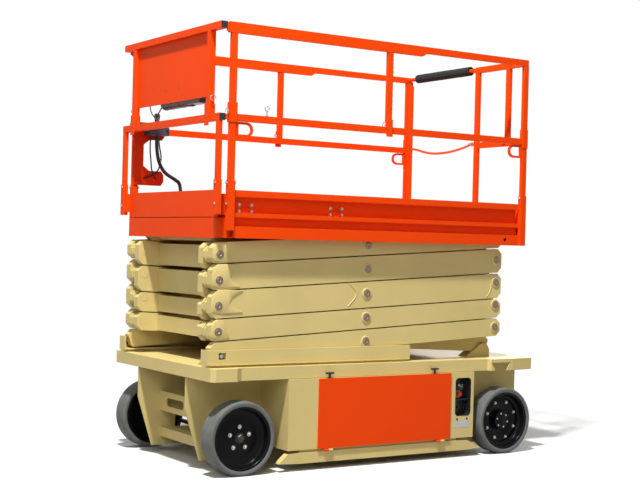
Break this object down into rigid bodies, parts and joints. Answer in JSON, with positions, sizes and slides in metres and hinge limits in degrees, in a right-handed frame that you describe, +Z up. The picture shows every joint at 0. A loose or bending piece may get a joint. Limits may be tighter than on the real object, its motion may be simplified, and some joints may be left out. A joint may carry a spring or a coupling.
{
  "type": "scissor lift",
  "caption": "Electric slab scissor lift: wheeled chassis with component boxes, stacked scissor arms, guarded platform with a roll-out deck.",
  "frame": {"origin": "on the floor, under the middle of the machine's bounding box", "axes": "+X towards the steered front, +Y to the machine's left side, +Z up"},
  "size_m": [2.28, 1.244, 2.4539],
  "materials": {
    "black_paint": "gloss paint",
    "black_plastic": "moulded",
    "chrome": "polished",
    "cream": "semi-gloss paint",
    "dark_steel": "satin",
    "foam": "closed-cell foam",
    "orange": "semi-gloss powder coat",
    "strap": "woven webbing",
    "tyre": "grey non-marking rubber",
    "zinc": "zinc plated"
  },
  "bodies": {
    "chassis": {"chassis_frame": "cream", "deck_tray": "cream", "cross_members": "cream", "axle_lugs": "cream", "pivot_ears": "cream", "slide_channels": "cream", "component_boxes": "cream", "ground_controls": "black_plastic", "pothole_guards": "cream", "battery_blocks": "black_plastic", "rear_ladder": "cream", "rear_axles": "dark_steel"},
    "wheel_front_left": {"rim_front_left": "black_paint", "tyre_front_left": "tyre"},
    "wheel_front_right": {"rim_front_right": "black_paint", "tyre_front_right": "tyre"},
    "wheel_rear_left": {"rim_rear_left": "black_paint", "tyre_rear_left": "tyre"},
    "wheel_rear_right": {"rim_rear_right": "black_paint", "tyre_rear_right": "tyre"},
    "knuckle_left": {"knuckle_left": "dark_steel"},
    "knuckle_right": {"knuckle_right": "dark_steel"},
    "tie_rod": {"tie_rod": "dark_steel"},
    "door_left": {"door_left": "orange", "latches_left": "black_plastic"},
    "door_right": {"door_right": "orange", "latches_right": "black_plastic"},
    "inner_1": {"inner_arms_1": "cream"},
    "outer_1": {"outer_arms_1": "cream", "channel_rollers": "black_plastic"},
    "inner_2": {"inner_arms_2": "cream"},
    "outer_2": {"outer_arms_2": "cream"},
    "inner_3": {"inner_arms_3": "cream"},
    "outer_3": {"outer_arms_3": "cream"},
    "inner_4": {"inner_arms_4": "cream"},
    "outer_4": {"outer_arms_4": "cream"},
    "inner_5": {"inner_arms_5": "cream"},
    "outer_5": {"outer_arms_5": "cream"},
    "barrel": {"lift_barrel": "dark_steel"},
    "rod": {"lift_rod": "chrome"},
    "platform": {"platform_deck": "orange", "side_sections": "orange", "platform_tracks": "orange", "platform_ears": "orange", "side_rails": "orange", "rear_guard": "orange", "entry_catch": "orange", "lanyard_loops": "orange", "control_bracket": "orange", "control_box": "black_plastic", "control_cable": "black_plastic", "entry_strap": "strap"},
    "extension": {"extension_deck": "orange", "front_guard": "orange", "front_panel": "orange", "document_tube": "black_plastic", "rail_caps": "black_plastic"},
    "entry_bar": {"entry_bar": "zinc", "entry_pad": "foam"}
  },
  "joints": [
    {"name": "lift", "type": "hinge", "parent": "chassis", "child": "inner_1", "pos_m": [-0.881, 0, 0.641], "axis": [0, -1, 0], "range_deg": [0, 63.6]},
    {"name": "cross_1", "type": "hinge", "parent": "inner_1", "child": "outer_1", "pos_m": [0.094, 0, 0.7105], "axis": [0, -1, 0], "range_deg": [-127.25, 0]},
    {"name": "rear_1", "type": "hinge", "parent": "outer_1", "child": "inner_2", "pos_m": [-0.881, 0, 0.78], "axis": [0, -1, 0], "range_deg": [0, 127.25]},
    {"name": "cross_2", "type": "hinge", "parent": "inner_2", "child": "outer_2", "pos_m": [0.094, 0, 0.8495], "axis": [0, -1, 0], "range_deg": [-127.25, 0]},
    {"name": "rear_2", "type": "hinge", "parent": "outer_2", "child": "inner_3", "pos_m": [-0.881, 0, 0.919], "axis": [0, -1, 0], "range_deg": [0, 127.25]},
    {"name": "cross_3", "type": "hinge", "parent": "inner_3", "child": "outer_3", "pos_m": [0.094, 0, 0.9885], "axis": [0, -1, 0], "range_deg": [-127.25, 0]},
    {"name": "rear_3", "type": "hinge", "parent": "outer_3", "child": "inner_4", "pos_m": [-0.881, 0, 1.058], "axis": [0, -1, 0], "range_deg": [0, 127.25]},
    {"name": "cross_4", "type": "hinge", "parent": "inner_4", "child": "outer_4", "pos_m": [0.094, 0, 1.1275], "axis": [0, -1, 0], "range_deg": [-127.25, 0]},
    {"name": "rear_4", "type": "hinge", "parent": "outer_4", "child": "inner_5", "pos_m": [-0.881, 0, 1.197], "axis": [0, -1, 0], "range_deg": [0, 127.25]},
    {"name": "cross_5", "type": "hinge", "parent": "inner_5", "child": "outer_5", "pos_m": [0.094, 0, 1.2665], "axis": [0, -1, 0], "range_deg": [-127.25, 0]},
    {"name": "platform_level", "type": "hinge", "parent": "outer_5", "child": "platform", "pos_m": [-0.881, 0, 1.336], "axis": [0, -1, 0], "range_deg": [0, 63.65]},
    {"name": "cylinder_base", "type": "hinge", "parent": "inner_1", "child": "barrel", "pos_m": [0.52114, 0, 0.66075], "axis": [0, -1, 0], "range_deg": [-121.21, 0]},
    {"name": "cylinder_rod", "type": "slide", "parent": "barrel", "child": "rod", "axis": [-0.9754, 0, 0.2203], "range_m": [0, 0.35036]},
    {"name": "deck_extend", "type": "slide", "parent": "platform", "child": "extension", "axis": [1, 0, 0], "range_m": [0, 0.9]},
    {"name": "entry_bar", "type": "hinge", "parent": "platform", "child": "entry_bar", "pos_m": [-1.0204, 0.114, 2.424], "axis": [-1, 0, 0], "range_deg": [0, 90]},
    {"name": "steer_left", "type": "hinge", "parent": "chassis", "child": "knuckle_left", "pos_m": [0.932, 0.415, 0.203], "axis": [0, 0, 1], "range_deg": [-45, 45]},
    {"name": "steer_right", "type": "hinge", "parent": "chassis", "child": "knuckle_right", "pos_m": [0.932, -0.415, 0.203], "axis": [0, 0, 1], "range_deg": [-45, 45]},
    {"name": "tie_rod", "type": "hinge", "parent": "knuckle_left", "child": "tie_rod", "pos_m": [0.822, 0.415, 0.203], "axis": [0, 0, 1], "range_deg": [-45, 45]},
    {"name": "spin_front_left", "type": "hinge", "parent": "knuckle_left", "child": "wheel_front_left", "pos_m": [0.932, 0.55, 0.203], "axis": [0, 1, 0], "continuous": true},
    {"name": "spin_front_right", "type": "hinge", "parent": "knuckle_right", "child": "wheel_front_right", "pos_m": [0.932, -0.55, 0.203], "axis": [0, 1, 0], "continuous": true},
    {"name": "spin_rear_left", "type": "hinge", "parent": "chassis", "child": "wheel_rear_left", "pos_m": [-0.932, 0.55, 0.203], "axis": [0, 1, 0], "continuous": true},
    {"name": "spin_rear_right", "type": "hinge", "parent": "chassis", "child": "wheel_rear_right", "pos_m": [-0.932, -0.55, 0.203], "axis": [0, 1, 0], "continuous": true},
    {"name": "door_left", "type": "hinge", "parent": "chassis", "child": "door_left", "pos_m": [0, 0.611, 0.11], "axis": [-1, 0, 0], "range_deg": [0, 90]},
    {"name": "door_right", "type": "hinge", "parent": "chassis", "child": "door_right", "pos_m": [0, -0.611, 0.11], "axis": [1, 0, 0], "range_deg": [0, 90]}
  ],
  "couplings": [
    {"joint": "cross_1", "follows": "lift", "ratio": -2},
    {"joint": "rear_1", "follows": "lift", "ratio": 2},
    {"joint": "cross_2", "follows": "lift", "ratio": -2},
    {"joint": "rear_2", "follows": "lift", "ratio": 2},
    {"joint": "cross_3", "follows": "lift", "ratio": -2},
    {"joint": "rear_3", "follows": "lift", "ratio": 2},
    {"joint": "cross_4", "follows": "lift", "ratio": -2},
    {"joint": "rear_4", "follows": "lift", "ratio": 2},
    {"joint": "cross_5", "follows": "lift", "ratio": -2},
    {"joint": "platform_level", "follows": "lift", "ratio": 1},
    {"joint": "cylinder_base", "follows": "lift", "ratio": -1.905},
    {"joint": "cylinder_rod", "follows": "lift", "m_per_rad": 0.31518},
    {"joint": "steer_right", "follows": "steer_left", "ratio": 1},
    {"joint": "tie_rod", "follows": "steer_left", "ratio": -1}
  ]
}
